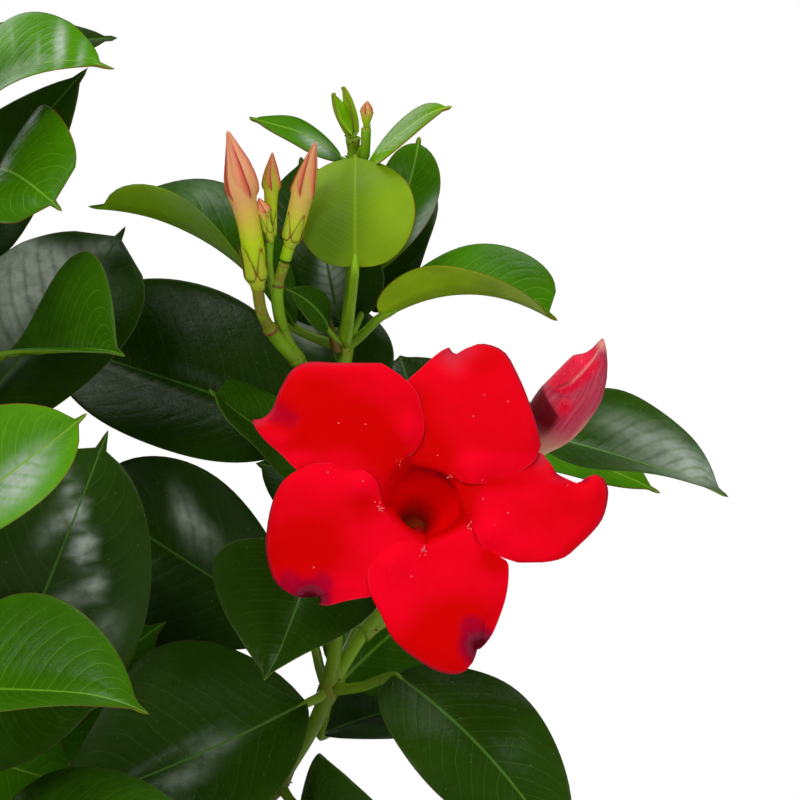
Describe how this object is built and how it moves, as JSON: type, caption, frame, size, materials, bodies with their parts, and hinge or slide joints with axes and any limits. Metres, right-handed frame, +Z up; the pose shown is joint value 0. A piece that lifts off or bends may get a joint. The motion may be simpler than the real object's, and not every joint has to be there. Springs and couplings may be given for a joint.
{
  "type": "potted mandevilla plant",
  "caption": "Potted flowering vine with glossy opposite leaves, red funnel flowers and furled buds in a plain clay pot.",
  "frame": {"origin": "middle of the pot's underside", "axes": "+Z up out of the pot, -Y towards the side that the large front flower faces, +X to the right as seen from there"},
  "size_m": [0.3337, 0.2791, 0.401],
  "materials": {
    "clay": "matte fired clay",
    "soil": "loose dark compost",
    "foliage": "glossy green leaves on green stems",
    "petal": "velvety red petals",
    "furled_petal": "velvety pink-red furled petals",
    "bud": "smooth, green-yellow below and salmon at the tip"
  },
  "bodies": {
    "root": {"pot": "clay", "soil": "soil", "shoot_right": "foliage", "shoot_centre": "foliage", "shoot_front": "foliage", "shoot_left": "foliage", "shoot_left_back": "foliage", "shoot_back": "foliage", "shoot_low_front": "foliage", "shoot_low_right": "foliage", "shoot_low_back": "foliage", "shoot_low_left": "foliage", "flower_front": "petal", "flower_left": "petal", "flower_low_left": "petal", "flower_low_right": "petal", "flower_back": "petal", "bud_furled": "furled_petal", "bud_large": "bud", "bud_long": "bud", "bud_small": "bud", "bud_top": "bud", "bud_left_1": "bud", "bud_left_2": "bud", "bud_back": "bud"}
  },
  "joints": []
}
